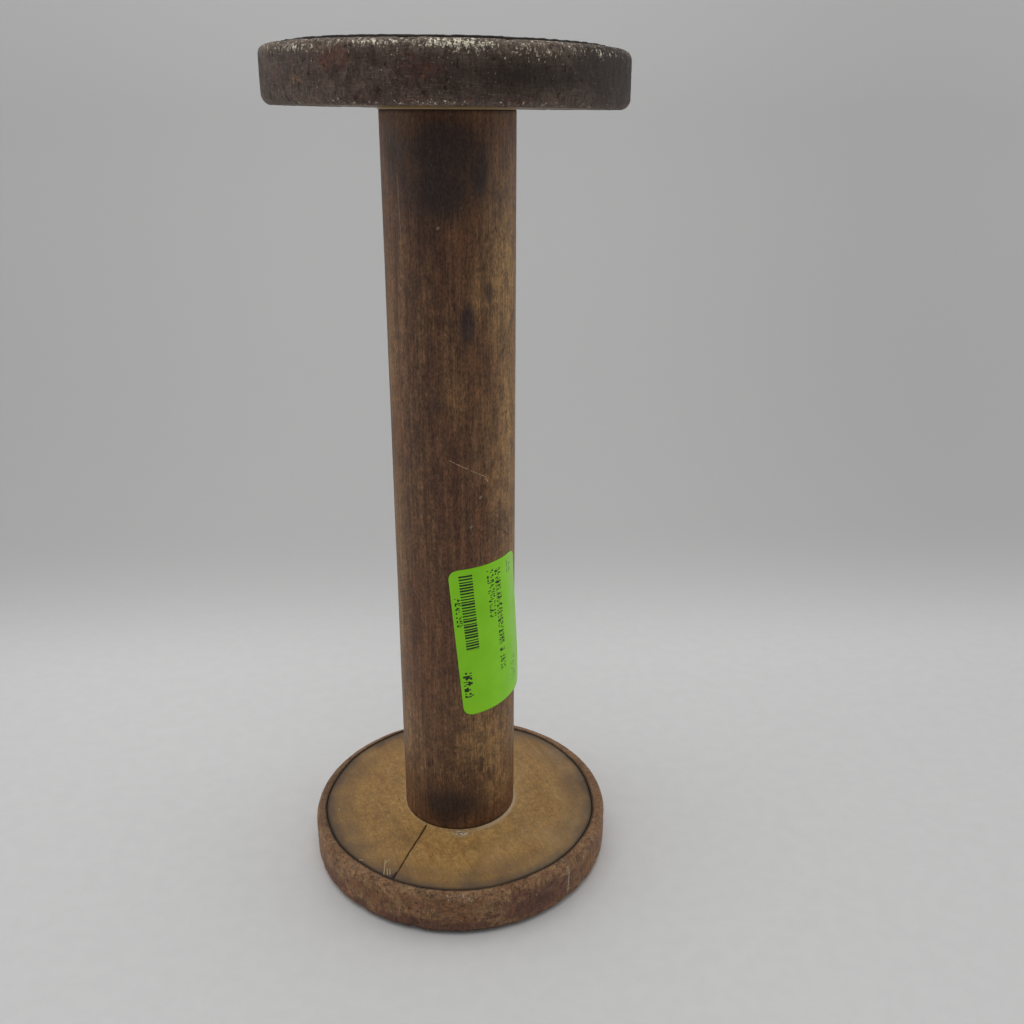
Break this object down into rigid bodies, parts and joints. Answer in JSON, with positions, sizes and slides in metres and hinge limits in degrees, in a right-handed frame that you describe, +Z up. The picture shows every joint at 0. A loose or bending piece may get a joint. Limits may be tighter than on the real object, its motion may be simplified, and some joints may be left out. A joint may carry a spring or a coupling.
{
  "type": "industrial yarn spool",
  "caption": "Empty tall mill spool: turned wooden barrel with a spindle bore between round wooden heads with worn rolled steel rims, and a green paper label.",
  "frame": {"origin": "centre of the lower end face, on the spindle axis", "axes": "+Z up along the spindle axis, from the lower head to the upper head; -Y is the side seen from the front, with the label on its +X side"},
  "size_m": [0.099, 0.099, 0.254],
  "materials": {
    "barrel_wood": "turned hardwood, handled smooth, dark with oil and wear",
    "head_wood": "laminated hardwood, varnished, grimy towards the rim",
    "lower_rim_paint": "red-brown painted steel, pitted, worn and rusty",
    "upper_rim_paint": "dark brown painted steel, worn to bare metal on its edges",
    "bushing_steel": "dull oiled steel with a spindle-polished bore",
    "screw_steel": "dull steel, browned",
    "label_paper": null
  },
  "bodies": {
    "root": {"barrel": "barrel_wood", "price_label": "label_paper", "lower_rim": "lower_rim_paint", "lower_head_outer_ply": "head_wood", "lower_head_core_ply": "head_wood", "lower_head_inner_ply": "head_wood", "lower_bushing": "bushing_steel", "lower_bushing_screws": "screw_steel", "upper_rim": "upper_rim_paint", "upper_head_outer_ply": "head_wood", "upper_head_core_ply": "head_wood", "upper_head_inner_ply": "head_wood", "upper_bushing": "bushing_steel", "upper_bushing_screws": "screw_steel"}
  },
  "joints": []
}
